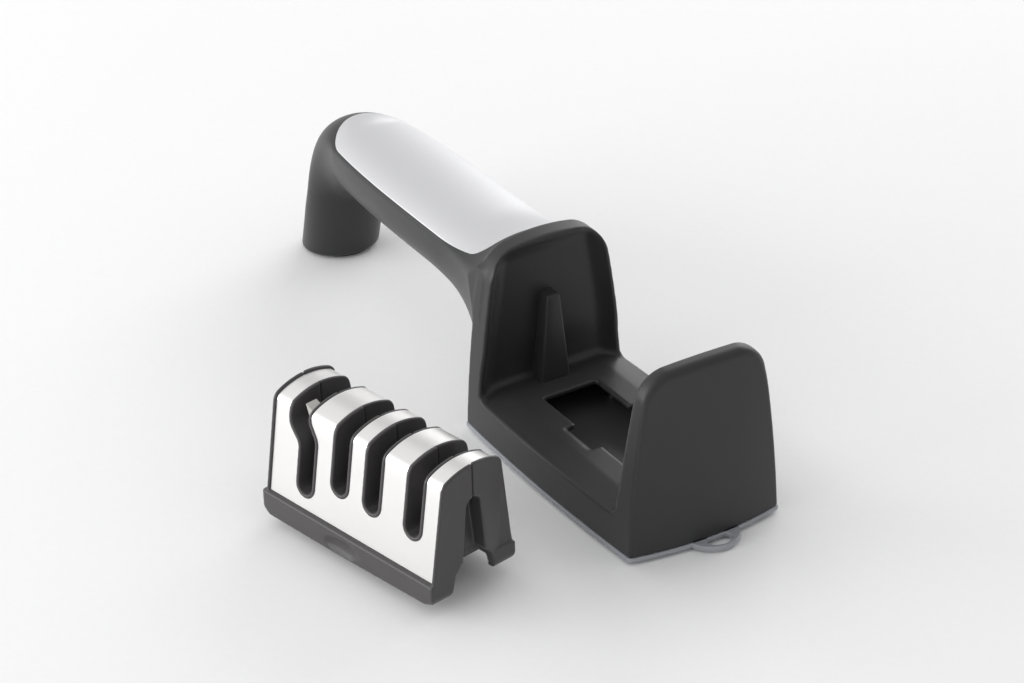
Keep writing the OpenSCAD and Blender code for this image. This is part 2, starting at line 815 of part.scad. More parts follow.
// The cartridge's frame: flange's underside in the middle of its length
module standing() {
    translate([stand_x, stand_y, hook_h]) rotate(stand_turn) children();
}

// Cross-section of the cartridge, a distance outside the steel's outer face
function cart_outline(out, low) = both_sides(concat(
    [[foot_half + (flange_h - low) * lean_t + out / cos(face_lean), low]],
    arc([shoulder_y, shoulder_z], shoulder_r + out, face_lean, crown_turn, 6),
    arc([0, crown_c], crown_r + out, crown_turn + (90 - crown_turn) / 4, 89, 3)
));

// Outline of the flange, drawn in on three sides: it runs past one end and has round corners there
module flange_outline(in) {
    r = flange_corner;
    tail = -cart_l / 2 - flange_tail + in;
    half = cart_w / 2 - in;
    polygon(concat(
        [[cart_l / 2, -half], [cart_l / 2, half]],
        arc([tail + r, half - r], r, 90, 180, 5),
        arc([tail + r, r - half], r, 180, 270, 5)
    ));
}

// The flange: an upright side and a slanted top that meets the steel
module flange() {
    hull() {
        linear_extrude(flange_side) flange_outline(0);
        translate([0, 0, flange_h - skin]) linear_extrude(skin) flange_outline(flange_ledge);
    }
}

// A straight blade slot seen from the long face, grown outwards by a lip
module knife_slot(x, grow) {
    r = slot_w / 2 + grow;
    translate([x, slot_floor + slot_w / 2]) {
        circle(r);
        translate([-r, 0]) square([2 * r, cart_h]);
    }
}

// The scissor slot: a round-bottomed slot that jogs sideways into a wider mouth
module scissor_slot(grow) {
    r = slot_w / 2 + grow;
    m = mouth_w / 2 + grow;
    mouth_x = scissor_x - mouth_shift;
    right_z = neck_z + neck_skew - grow;
    translate([scissor_x, scissor_floor + slot_w / 2]) circle(r);
    polygon([
        [scissor_x - r, scissor_floor + slot_w / 2], [scissor_x + r, scissor_floor + slot_w / 2],
        [scissor_x + r, right_z], [mouth_x + m, right_z + neck_rise],
        [mouth_x + m, cart_h + 2 * over], [mouth_x - m, cart_h + 2 * over],
        [mouth_x - m, neck_z + neck_rise - grow], [scissor_x - r, neck_z - grow]
    ]);
}

// All four slots cut straight through from face to face
module slots(grow) {
    across_y(2 * cart_w) scissor_slot(grow);
    for (x = [coarse_x, medium_x, fine_x]) across_y(2 * cart_w) knife_slot(x, grow);
}

// Place of one of the two crossing pieces of a stage: side -1 or 1, its own half thickness
module crossing(x, side, half) {
    translate([x, side * (half + cross_gap / 2), cross_z])
        rotate([0, -side * stage_lean, 0]) children();
}

module rod(x, side, fit) {
    crossing(x, side, rod_d / 2)
        translate([0, 0, -stage_low - fit])
            cylinder(d = rod_d + 2 * fit, h = stage_low + stage_high + 2 * fit);
}

module carbide(x, side, fit) {
    crossing(x, side, plate_t / 2)
        translate([-plate_w / 2 - fit, -plate_t / 2 - fit, -stage_low - fit])
            cube([plate_w + 2 * fit, plate_t + 2 * fit, stage_low + stage_high + 2 * fit]);
}

// The block that holds the lower ends of a crossing pair
module carrier_block(x, across, deep, fit) {
    half = stage_low * sin(stage_lean) + across / 2 / cos(stage_lean) + carrier_wall + fit;
    depth = deep + cross_gap / 2 + carrier_wall + fit;
    translate([x - half, -depth, carrier_base - fit])
        cube([2 * half, 2 * depth, carrier_top - carrier_base + 2 * fit]);
}

// The scissor stone: a leaning bar in front of the parting plane, its top cut at a slope
module stone(fit) {
    left = scissor_x + stone_side;
    high = cart_h - stone_drop;
    foot = stone_l * tan(stone_lean);
    fall = stone_t * tan(stone_slope);
    run = (stone_l - fall) * tan(stone_lean);
    translate([0, -stone_front, 0]) across_y(stone_w + 2 * fit)
        offset(delta = fit)
            polygon([
                [left, high], [left + stone_t, high - fall],
                [left + stone_t + run, high - stone_l], [left + foot, high - stone_l]
            ]);
}

// Places of the two screws that run across both halves, at the seat of their heads
pin_top = pin_z + pin_head_d / 2 - flange_h;
pin_seat = foot_half - pin_top * lean_t - steel_t - pin_head_h - set_fit;
module at_pins() {
    for (x = [pin_left, pin_right]) translate([x, pin_seat, pin_z]) rotate([90, 0, 0]) children();
}

module pin_shape() {
    cylinder(d = pin_d, h = pin_l);
    translate([0, 0, -pin_head_h]) cylinder(d = pin_head_d, h = pin_head_h);
}

module pin_hole() {
    cylinder(d = pin_d + 2 * screw_fit, h = pin_l + set_fit);
    translate([0, 0, -cart_w / 4]) cylinder(d = pin_head_d + 2 * set_fit, h = cart_w / 4);
}

// The upright groove in each end, which narrows towards its top
module end_groove() {
    r = groove_top_w / 2;
    polygon(both_sides([
        [groove_low_w / 2, channel_h - over], [r, groove_top - r]
    ]));
    translate([0, groove_top - r]) circle(r);
}

// Long oval dent for a finger on the flange
module finger_dent() {
    bulge = (pow(dent_l / 2, 2) + pow(dent_r, 2)) / (2 * dent_r);
    half = asin(dent_l / 2 / bulge);
    translate([dent_x, -cart_w / 2 - dent_r + dent_depth, dent_z]) rotate([0, 90, 0])
        rotate_extrude()
            polygon(concat(
                [[0, -dent_l / 2]], arc([dent_r - bulge, 0], bulge, -half, half, 12),
                [[0, dent_l / 2]]
            ));
}

// A snap tongue with its barb, under one side of the flange
module snap_tongue() {
    translate([-hook_l / 2, 0, 0]) rotate([90, 0, 90]) linear_extrude(hook_l)
        polygon([
            [hook_t - hook_y, over], [hook_t - hook_y, -hook_h],
            [hook_t - hook_tip - hook_y, -hook_h], [-hook_y - hook_barb, barb_z - hook_h],
            [-hook_y - hook_barb, barb_z + barb_h - hook_h],
            [-hook_y, barb_z + 2 * barb_h - hook_h], [-hook_y, over]
        ]);
}

// Pockets that hollow the underside between the snap tongues and the end walls
module under_pockets() {
    half = cart_w / 2 - pocket_wall;
    from = hook_l / 2 + pocket_wall;
    to = cart_l / 2 - groove_depth;
    for (m = [0, 1]) mirror([m, 0, 0])
        translate([from, -half, -over]) cube([to - from, 2 * half, pocket_h + over]);
}

// Both halves of the cartridge before they are parted at the middle plane
module cartridge_plastic() {
    end = cart_l / 2;
    difference() {
        union() {
            along_x(-end, end) polygon(cart_outline(-steel_t, flange_h - over));
            for (x = [-end, end - end_rim])
                along_x(x, x + end_rim) polygon(cart_outline(end_rim_rise, flange_h - over));
            intersection() {
                along_x(-end, end) polygon(cart_outline(slot_lip_rise, flange_h + over));
                slots(slot_lip);
            }
            flange();
            for (m = [0, 1]) mirror([0, m, 0]) snap_tongue();
        }
        slots(0);
        along_x(-cart_l, cart_l)
            polygon(both_sides([
                [channel_w / 2, -over], [channel_w / 2, channel_h / 4],
                [mix(channel_w, groove_low_w, 1 / 3) / 2, channel_h * 3 / 4],
                [groove_low_w / 2, channel_h]
            ]));
        under_pockets();
        for (x = [-end - over, end - groove_depth])
            along_x(x, x + groove_depth + over) end_groove();
        for (m = [0, 1]) mirror([0, m, 0]) finger_dent();
        for (side = [-1, 1]) {
            rod(coarse_x, side, 2 * stage_fit);
            carbide(medium_x, side, 2 * stage_fit);
            rod(fine_x, side, 2 * stage_fit);
        }
        carrier_block(coarse_x, rod_d, rod_d, set_fit);
        carrier_block(medium_x, plate_w, plate_t, set_fit);
        carrier_block(fine_x, rod_d, rod_d, set_fit);
        stone(stage_fit);
        at_pins() pin_hole();
    }
}

module cartridge_half(side) {
    intersection() {
        cartridge_plastic();
        translate([-cart_l, side < 0 ? -cart_w : 0, -cart_h])
            cube([2 * cart_l, cart_w, 3 * cart_h]);
    }
}

// Front half of the cartridge, a black moulding
module cartridge_front_half() {
    color(shell_black) standing() cartridge_half(-1);
}

// Rear half of the cartridge, with the screw heads under the steel
module cartridge_rear_half() {
    color(shell_black) standing() cartridge_half(1);
}

// Bent stainless sheet over both long faces and the crown
module steel_cover() {
    end = cart_l / 2 - end_rim - set_fit;
    low = flange_h + set_fit;
    color(steel) standing()
    difference() {
        along_x(-end, end) polygon(cart_outline(0, low));
        along_x(-cart_l, cart_l) polygon(cart_outline(-steel_t, low - over));
        slots(slot_lip + set_fit);
    }
}

// Two screws that hold the halves together
module cartridge_screws() {
    color(zinc) standing() at_pins() pin_shape();
}

// Ceramic bar that works on one side of a scissor blade
module scissor_stone() {
    color(stone_grey) standing() stone(0);
}

// Carriers of the three knife stages
module coarse_carrier() {
    color(rubber_black) standing() difference() {
        carrier_block(coarse_x, rod_d, rod_d, 0);
        for (side = [-1, 1]) rod(coarse_x, side, stage_fit);
    }
}

module medium_carrier() {
    color(rubber_black) standing() difference() {
        carrier_block(medium_x, plate_w, plate_t, 0);
        for (side = [-1, 1]) carbide(medium_x, side, stage_fit);
    }
}

module fine_carrier() {
    color(rubber_black) standing() difference() {
        carrier_block(fine_x, rod_d, rod_d, 0);
        for (side = [-1, 1]) rod(fine_x, side, stage_fit);
    }
}

// Diamond rods of the coarse stage
module coarse_rod_left() { color(diamond_grey) standing() rod(coarse_x, -1, 0); }
module coarse_rod_right() { color(diamond_grey) standing() rod(coarse_x, 1, 0); }

// Carbide plates of the medium stage
module carbide_plate_left() { color(carbide_grey) standing() carbide(medium_x, -1, 0); }
module carbide_plate_right() { color(carbide_grey) standing() carbide(medium_x, 1, 0); }

// Ceramic rods of the fine stage
module fine_rod_left() { color(ceramic_white) standing() rod(fine_x, -1, 0); }
module fine_rod_right() { color(ceramic_white) standing() rod(fine_x, 1, 0); }

base_shell();
handle_inlay();
foot_plug();
bottom_plate();
base_pad();
bottom_screws();
cartridge_front_half();
cartridge_rear_half();
steel_cover();
cartridge_screws();
scissor_stone();
coarse_carrier();
coarse_rod_left();
coarse_rod_right();
medium_carrier();
carbide_plate_left();
carbide_plate_right();
fine_carrier();
fine_rod_left();
fine_rod_right();
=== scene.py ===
"""A pull-through sharpener: cradle base with an arched grip, and its lift-out cartridge beside it."""
import math
import bmesh
import bpy
import numpy as np
from mathutils import Matrix, Vector


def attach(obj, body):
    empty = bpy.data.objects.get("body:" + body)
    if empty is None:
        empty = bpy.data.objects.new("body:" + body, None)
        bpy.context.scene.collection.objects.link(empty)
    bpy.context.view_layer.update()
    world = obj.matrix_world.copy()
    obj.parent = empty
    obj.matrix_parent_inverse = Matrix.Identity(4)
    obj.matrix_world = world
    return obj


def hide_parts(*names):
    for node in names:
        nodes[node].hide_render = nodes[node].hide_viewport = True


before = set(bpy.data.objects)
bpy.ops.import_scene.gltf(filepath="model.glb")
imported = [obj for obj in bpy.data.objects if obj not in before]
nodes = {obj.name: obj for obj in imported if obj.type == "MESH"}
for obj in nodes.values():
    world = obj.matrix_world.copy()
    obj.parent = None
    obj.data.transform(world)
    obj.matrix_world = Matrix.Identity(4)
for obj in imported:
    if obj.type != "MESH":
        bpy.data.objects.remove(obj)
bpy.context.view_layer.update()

# Camera
# A long lens looks down on the near front corner of the cradle, rolled a little, as in the photograph.

def linked(name, data):
    """A new object with this data, linked into the scene."""
    made = bpy.data.objects.new(name, data)
    bpy.context.scene.collection.objects.link(made)
    return made


camera_turn = math.radians(59.18)
camera_drop = math.radians(30.04)
camera_roll = math.radians(-1.44)
camera_reach = 1.0321
camera_target = Vector((-0.08018, 0.01272, 0.0))
back = Vector((
    math.sin(camera_turn) * math.cos(camera_drop),
    -math.cos(camera_turn) * math.cos(camera_drop),
    math.sin(camera_drop),
))
level_right = Vector((math.cos(camera_turn), math.sin(camera_turn), 0.0))
level_up = back.cross(level_right)
right = math.cos(camera_roll) * level_right + math.sin(camera_roll) * level_up
up = math.cos(camera_roll) * level_up - math.sin(camera_roll) * level_right
camera_data = bpy.data.cameras.new("camera")
camera_data.sensor_width = 36.0
camera_data.lens = 116.78
camera_data.clip_end = 20.0
camera_frame = Matrix((right, up, back)).transposed().to_4x4()
camera_frame.translation = camera_target + back * camera_reach
camera = linked("camera", camera_data)
camera.matrix_world = camera_frame
bpy.context.scene.camera = camera


# Base moulding
# One hollow moulding of dark soft-touch plastic: the tray, its two end walls and the arched grip that
# ends in a leg. It is drawn as a field of distances in millimetres, negative inside, so that edges and
# fillets are round, and meshed on a grid.

def round_max(a, b, r):
    """Where two solids overlap, with an edge of radius r."""
    return np.minimum(np.maximum(a, b), -r) + np.hypot(np.maximum(a + r, 0), np.maximum(b + r, 0))


def round_min(a, b, r):
    """Two solids joined, with a fillet of radius r."""
    return np.maximum(np.minimum(a, b), r) - np.hypot(np.maximum(r - a, 0), np.maximum(r - b, 0))


def ease(t):
    """A smooth step from 0 to 1."""
    t = np.clip(t, 0, 1)
    return t * t * (3 - 2 * t)


def mix(a, b, t):
    return a + (b - a) * t


def surface_points(value, mixed, axes):
    """For each mixed cell of a grid, the middle of the places where its edges cross the surface."""
    cells = np.nonzero(mixed)
    total = np.zeros((len(cells[0]), 3))
    hits = np.zeros(len(cells[0]))
    for axis in range(3):
        others = [a for a in range(3) if a != axis]
        for p in (0, 1):
            for q in (0, 1):
                low = list(cells)
                low[others[0]] = low[others[0]] + p
                low[others[1]] = low[others[1]] + q
                high = list(low)
                high[axis] = low[axis] + 1
                a = value[tuple(low)]
                b = value[tuple(high)]
                cross = (a < 0) != (b < 0)
                t = np.where(cross, a / np.where(cross, a - b, 1), 0)
                point = np.stack([axes[m][low[m]] for m in range(3)], -1)
                point[:, axis] += t * (axes[axis][high[axis]] - axes[axis][low[axis]])
                total += point * cross[:, None]
                hits += cross
    return total / hits[:, None]


def surface_quads(inside, index):
    """A quad round each grid edge that crosses the surface, facing outwards."""
    quads = []
    for axis in range(3):
        u, v = [(1, 2), (2, 0), (0, 1)][axis]
        low = [slice(1, -1)] * 3
        low[axis] = slice(0, -1)
        high = list(low)
        high[axis] = slice(1, None)
        a = inside[tuple(low)]
        b = inside[tuple(high)]
        for outwards, wanted in ((True, a & ~b), (False, ~a & b)):
            ring = []
            for du, dv in ((0, 0), (1, 0), (1, 1), (0, 1)):
                cell = [at + (0 if m == axis else 1) for m, at in enumerate(np.nonzero(wanted))]
                cell[u] = cell[u] - 1 + du
                cell[v] = cell[v] - 1 + dv
                ring.append(index[tuple(cell)])
            quads.append(np.stack(ring if outwards else ring[::-1], -1))
    return np.concatenate(quads)


def drawn_on(points, field):
    """Points moved onto a field's true surface in a few short steps."""
    probe = 0.02
    longest = 0.3
    for turn in range(4):
        x, y, z = points.T
        slope = np.stack([
            field(x + probe, y, z) - field(x - probe, y, z),
            field(x, y + probe, z) - field(x, y - probe, z),
            field(x, y, z + probe) - field(x, y, z - probe),
        ], -1) / (2 * probe)
        size = np.maximum((slope * slope).sum(-1), 0.05)
        move = slope * (field(x, y, z) / size)[:, None]
        length = np.maximum(np.linalg.norm(move, axis=-1, keepdims=True), 1e-9)
        points = points - move * np.minimum(1, longest / length)
    return points


def net_mesh(field, xs, ys, zs):
    """Points and quads of a field's zero surface, found on a grid."""
    value = field(*np.meshgrid(xs, ys, zs, indexing="ij"))
    inside = value < 0
    cells = [n - 1 for n in value.shape]
    count = sum(
        inside[i:i + cells[0], j:j + cells[1], k:k + cells[2]].astype(np.int8)
        for i in (0, 1) for j in (0, 1) for k in (0, 1))
    mixed = (count > 0) & (count < 8)
    index = np.full(mixed.shape, -1, np.int64)
    index[mixed] = np.arange(mixed.sum())
    points = surface_points(value, mixed, (xs, ys, zs))
    return drawn_on(points, field), surface_quads(inside, index)


def relaxed(points, quads, pull, turns):
    """Points drawn towards the middle of their neighbours, each with its own pull from 0 to 1."""
    here = np.concatenate([quads[:, i] for i in range(4)])
    there = np.concatenate([quads[:, (i + 1) % 4] for i in range(4)])
    count = np.maximum(np.bincount(here, minlength=len(points)), 1)
    for turn in range(turns):
        middle = np.stack([np.bincount(here, points[there, m], len(points)) for m in range(3)], -1)
        points = points + pull[:, None] * (middle / count[:, None] - points)
    return points


def piece_from(name, points, faces, place=None):
    """An object from points in millimetres and faces, shaded smooth, with its normals outwards."""
    mesh = bpy.data.meshes.new(name)
    mesh.from_pydata((np.asarray(points) * 0.001).tolist(), [], [list(f) for f in faces])
    if place is not None:
        mesh.transform(place)
    mesh.validate()
    drawn = bmesh.new()
    drawn.from_mesh(mesh)
    bmesh.ops.recalc_face_normals(drawn, faces=drawn.faces)
    drawn.to_mesh(mesh)
    drawn.free()
    mesh.shade_smooth()
    return linked(name, mesh)


# The cradle's sizes
half_length = 44.3
foot_half = 25.3
wall_narrowing = 6.3
side_swell = 1.0
side_bow = 1.4
front_bow = 3.0
plan_corner = 1.0
pad_top = 2.2
tray_back = -36.8
tray_front = 35.8
tray_height = 13.9
tray_fillet = 2.6
front_height = 58.0
rear_height = 61.1
shoulder_round = 7.5
hollow_depth = 2.6
shell_wall = 2.8
tray_wall = 1.6
well_x = -1.5
well_half_length = 25.0
well_half_width = 9.3
recess_half_length = 7.05
recess_half_width = 11.15
# Fall of the wall tops for each square millimetre away from the middle
front_crown = 0.0016
rear_crown = 0.0085

# The grip's sizes; each section is half its width, the height of its widest line over the bend's
# axis, the crown above that line, the depth below it, and how square it is
bend_x = -141.9
bend_z = 23.9
beam_length = 97.6
beam_half = 17.05
leg_low = 0.8
bend_start = (14.4, 24.0, 4.9, 18.0, 2.6)
bend_swell = (-1.8, -1.5, 4.3, 0.0, 0.0)
leg_top = (14.05, 19.2, 7.1, 10.5, 2.0)
leg_foot = (12.9, 25.2, 11.55, 11.55, 2.0)


def side_half(z):
    """Half the cradle's width at a height."""
    s = z / front_height
    return foot_half - wall_narrowing * s + 4 * side_swell * s * (1 - s)


def grip_half(d):
    """Half the grip's width at a distance behind the rear wall, without its flare there."""
    return beam_half - (beam_half - bend_start[0]) * (np.minimum(d, beam_length) / beam_length) ** 4.8


def grip_section(x, z):
    """The grip's section at a point, and the point's height over the bend's axis."""
    d = np.maximum(-half_length - x, 0)
    flare = np.maximum(0, 1 - d / 28.0) ** 2
    drop = np.maximum(0, 1 - d / 42.0) ** 2
    line, crown, depth, n = bend_start[1:]
    beam = (grip_half(d) + 5.0 * flare, line, crown + 6.0 * flare, depth + 12.0 * drop, n + flare)
    f = np.clip(np.arctan2(bend_x - x, np.maximum(z - bend_z, 1e-6)) / (math.pi / 2), 0, 1)
    swell = 4 * f * (1 - f)
    bend = [mix(a, b, ease(f)) + c * swell for a, b, c in zip(bend_start, leg_top, bend_swell)]
    k = np.clip((bend_z - z) / (bend_z - leg_low), 0, 1)
    leg = [mix(a, b, k) for a, b in zip(leg_top, leg_foot)]
    on_beam = x >= bend_x
    on_bend = ~on_beam & (z >= bend_z)
    section = [np.where(on_beam, p, np.where(on_bend, q, r)) for p, q, r in zip(beam, bend, leg)]
    round_bend = np.hypot(bend_x - x, z - bend_z)
    height = np.where(on_beam, z - bend_z, np.where(on_bend, round_bend, bend_x - x))
    return section, height


def grip_field(x, y, z):
    """The arched grip with its leg: a half ellipse above its widest line, squarer below it."""
    (half, line, crown, depth, n), height = grip_section(x, z)
    across = np.abs(y) / half
    above = height >= line
    n = np.where(above, 2.0, n)
    reach = np.where(above, crown, depth)
    upright = np.abs(height - line) / reach
    q = np.maximum((across ** n + upright ** n) ** (1 / n), 1e-3)
    slope = np.hypot((across / q) ** (n - 1) / half, (upright / q) ** (n - 1) / reach)
    return (q - 1) / np.maximum(slope, 0.02)


def block_field(x, y, z):
    """The cradle's outside: leaning sides, bowed sides and front, and crowned wall tops."""
    front = x > 0
    fade = 1 - z / rear_height
    long_bow = side_bow * fade * np.maximum(0, 1 - (x / (half_length - plan_corner)) ** 2)
    end_bow = front_bow * fade * np.maximum(0, 1 - (y / (side_half(z) - plan_corner)) ** 2)
    side = (np.abs(y) - side_half(z) - long_bow) * 0.99
    end = np.where(front, x - end_bow, -x) - half_length
    top = z - np.where(front, front_height - front_crown * y * y, rear_height - rear_crown * y * y)
    corner = plan_corner + 1.4 * ease((z - 42.0) / 15.0)
    block = round_max(round_max(side, top, shoulder_round), end, corner)
    return round_max(block, pad_top - z, 0.5)


def wall_hollow(y, z):
    """How far the shallow hollow goes into the rear wall's inner face, from its sides and top inwards."""
    edge = -round_max(np.abs(y) - side_half(z), z - rear_height, 6.5)
    t = np.clip((edge - 1.2) / 5.6, 0, 1)
    return hollow_depth * t * (2 - t)


def tray_level(y):
    """Height of the tray, which falls a little towards its sides."""
    return tray_height - 1.4 * np.clip((np.abs(y) - 16.8) / 7.5, 0, 1) ** 1.2


def bay_field(x, y, z):
    """The space above the tray, between the two walls."""
    rise = np.clip((z - tray_height) / (front_height - tray_height), 0, 1.2)
    back_wall = tray_back + 0.9 * ease((z - 18.0) / 12.0) - wall_hollow(y, z)
    front_wall = tray_front + 3.3 * rise
    low = tray_level(y) - z
    past_back = round_max(back_wall - x, low, tray_fillet)
    past_front = round_max(x - front_wall, low, tray_fillet)
    return np.maximum(past_back, past_front)


def well_field(x, y, z):
    """The opening in the tray, with a recess on each side for a snap tongue."""
    along = np.abs(x - well_x)
    opening = round_max(along - well_half_length, np.abs(y) - well_half_width, 1.0)
    funnel = recess_half_width + 2.7 * np.clip((z - 12.4) / 1.5, 0, 1)
    recess = round_max(along - recess_half_length, np.abs(y) - funnel, 0.8)
    return np.minimum(opening, recess)


def base_field(x, y, z):
    """The whole moulding, hollow under the tray."""
    front_edge = 0.7 + 0.7 * ease((z - 15.0) / 9.0)
    rear_edge = 0.7 + 0.9 * ease((z - 46.0) / 12.0)
    solid = round_max(block_field(x, y, z), -bay_field(x, y, z), np.where(x > 0, front_edge, rear_edge))
    grip = np.maximum(grip_field(x, y, z), x + half_length - 4.0)
    grip = np.maximum(grip, np.abs(y) - side_half(z))
    grip = round_max(grip, leg_low - z, 1.0)
    solid = round_min(solid, grip, 0.8)
    solid = round_max(solid, -well_field(x, y, z), 0.3)
    under = np.maximum(np.abs(x) - half_length + shell_wall, np.abs(y) - side_half(z) + shell_wall)
    under = np.maximum(under, z - tray_level(y) + tray_wall)
    return np.maximum(solid, -under)


grip_steps = np.arange(-180.2, -52.0, 1.2)
cradle_steps = np.arange(grip_steps[-1] + 0.7, 48.6, 0.7)
shell_x = np.concatenate([grip_steps, cradle_steps])
shell_y = np.arange(-27.65, 27.7, 0.7)
shell_z = np.arange(-0.5, 63.2, 0.7)
shell_points, shell_quads = net_mesh(base_field, shell_x, shell_y, shell_z)
# The crease where the bend meets the leg is eased
leg_pull = 0.6 * (1 - ease(np.abs(shell_points[:, 2] - bend_z) / 7.0)) * (shell_points[:, 0] < bend_x)
shell_points = relaxed(shell_points, shell_quads, leg_pull, 12)
base_shell = piece_from("base_moulding", shell_points, shell_quads)
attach(base_shell, "base")
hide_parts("base_shell")


def linear(text):
    """A colour given in hex, as the linear values that Blender uses."""
    parts = [int(text[i:i + 2], 16) / 255 for i in (1, 3, 5)]
    return [c / 12.92 if c <= 0.04045 else ((c + 0.055) / 1.055) ** 2.4 for c in parts] + [1.0]


def add_node(tree, kind, settings=None, links=None):
    """A shader node with its settings, linked to what feeds its inputs."""
    made = tree.nodes.new(kind)
    for key, value in (settings or {}).items():
        if key in made.inputs:
            made.inputs[key].default_value = value
        else:
            setattr(made, key, value)
    for key, source in (links or {}).items():
        tree.links.new(source, made.inputs[key])
    return made


def new_material(name):
    """An empty node material, with Object coordinates."""
    made = bpy.data.materials.new(name)
    made.use_nodes = True
    made.node_tree.nodes.clear()
    place = made.node_tree.nodes.new("ShaderNodeTexCoord")
    return made, made.node_tree, place.outputs["Object"]


def noise(tree, place, scale, detail, roughness=0.5):
    """Soft random spots."""
    settings = {"Scale": scale, "Detail": detail, "Roughness": roughness}
    return add_node(tree, "ShaderNodeTexNoise", settings, {"Vector": place}).outputs["Fac"]


def two_tone(tree, factor, first, second):
    """Two colours given in hex, blended by a texture."""
    made = add_node(tree, "ShaderNodeMix", {"data_type": "RGBA"}, {"Factor": factor})
    made.inputs["A"].default_value = linear(first)
    made.inputs["B"].default_value = linear(second)
    return made.outputs["Result"]


def between(tree, factor, low, high):
    """A value between two limits, set by a texture."""
    made = add_node(tree, "ShaderNodeMapRange", {"To Min": low, "To Max": high}, {"Value": factor})
    return made.outputs["Result"]


def relief(tree, height, strength, depth):
    """Normals for a texture's relief, its depth in metres."""
    made = add_node(tree, "ShaderNodeBump", {"Strength": strength, "Distance": depth}, {"Height": height})
    return made.outputs["Normal"]


def finish_material(tree, settings, links):
    """The material's shader and its output."""
    shader = add_node(tree, "ShaderNodeBsdfPrincipled", settings, links)
    add_node(tree, "ShaderNodeOutputMaterial", links={"Surface": shader.outputs[0]})


def grained_plastic(name, colour, light, roughness, grain, depth, sheen, ior=1.5):
    """Moulded plastic: a fine spark-eroded grain in the bump and a little change of colour and gloss."""
    made, tree, place = new_material(name)
    fine = noise(tree, place, grain, 3.0, 0.6)
    broad = noise(tree, place, 60.0, 2.0)
    finish_material(tree, {"IOR": ior, "Sheen Weight": sheen, "Sheen Roughness": 0.5}, {
        "Base Color": two_tone(tree, broad, colour, light),
        "Roughness": between(tree, broad, roughness - 0.05, roughness + 0.05),
        "Normal": relief(tree, fine, 0.25, depth),
    })
    return made


# Soft-touch lacquer over dark plastic: matt, and pale where light grazes it
soft_touch = grained_plastic("soft_touch_plastic", "#29292a", "#2e2e2f", 0.4, 5200.0, 0.00006, 0.05, 1.4)
base_shell.data.materials.append(soft_touch)


# Guide ribs
# Two slim wedges moulded on the inner faces of the walls. The grooves in the cartridge's ends drop
# over them.
rib_low = tray_height - 0.4
rib_high = 42.0
rib_low_half = 4.9
rib_high_half = 2.2
rib_spread = 0.25


def modified(made, *modifiers):
    """The object with modifiers applied to its mesh and taken off again."""
    for kind, settings in modifiers:
        added = made.modifiers.new(kind.lower(), kind)
        for key, value in settings.items():
            setattr(added, key, value)
    bpy.context.view_layer.update()
    graph = bpy.context.evaluated_depsgraph_get()
    result = bpy.data.meshes.new_from_object(made.evaluated_get(graph))
    made.modifiers.clear()
    old = made.data
    made.data = result
    bpy.data.meshes.remove(old)
    return made


for name, foot, tip, root in (
        ("guide_rib_rear", tray_back + 3.3, tray_back + 2.7, -40.0),
        ("guide_rib_front", tray_front - 3.3, tray_front - 2.7, 40.0)):
    corners = []
    for z, half, face in ((rib_low, rib_low_half, foot), (rib_high, rib_high_half, tip)):
        corners += [(root, -half - rib_spread, z), (face, -half, z)]
        corners += [(face, half, z), (root, half + rib_spread, z)]
    rib = piece_from(name, corners, [
        (0, 1, 2, 3), (4, 5, 6, 7), (0, 1, 5, 4), (1, 2, 6, 5), (2, 3, 7, 6), (3, 0, 4, 7)])
    modified(rib, ("BEVEL", {"width": 0.0008, "segments": 4, "limit_method": "ANGLE"}))
    rib.data.shade_smooth()
    rib.data.materials.append(soft_touch)
    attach(rib, "base")


# Grip panel
# A crowned panel of satin silver plastic, let into the top of the grip with a hairline gap round it.
# It ends in a half round where the grip bends down, and with rounded corners at the rear wall.
panel_start = 4.5
panel_end = beam_length + 9.0
panel_round = 13.0
panel_corner = 5.0
panel_margin = 0.6
panel_over = 0.12
panel_under = -1.4
panel_across = 24
over_beam = 60.0
over_bend = 30.0
bend_run = (bend_start[1] + bend_start[2]) * math.pi / 2


def panel_place(s):
    """The grip's section at a distance behind the rear wall, its turn, and where it turns."""
    if s <= beam_length:
        x = -half_length - s
        turn = 0.0
        section = grip_section(np.array(x), np.array(over_beam))[0]
    else:
        x = bend_x
        turn = (s - beam_length) / bend_run * math.pi / 2
        at_x = bend_x - over_bend * math.sin(turn)
        at_z = bend_z + over_bend * math.cos(turn)
        section = grip_section(np.array(at_x), np.array(at_z))[0]
    return [float(v) for v in section], turn, x


def panel_half(s):
    """Half the panel's width, with its rounded ends."""
    full = grip_half(s) if s <= beam_length else panel_place(s)[0][0]
    near = max(0.0, panel_corner - (s - panel_start))
    inset = panel_corner - math.sqrt(max(0.0, panel_corner ** 2 - near ** 2))
    far = max(0.0, 1 - (panel_end - s) / panel_round)
    return (full - panel_margin - inset) * math.sqrt(max(0.0, 1 - far * far))


def panel_point(s, y, rise):
    """A point on the panel, a distance outside the grip's own surface."""
    (half, line, crown, depth, n), turn, x = panel_place(s)
    height = line + crown * math.sqrt(max(0.0, 1 - (y / half) ** 2)) + rise
    return (x - height * math.sin(turn), y, bend_z + height * math.cos(turn))


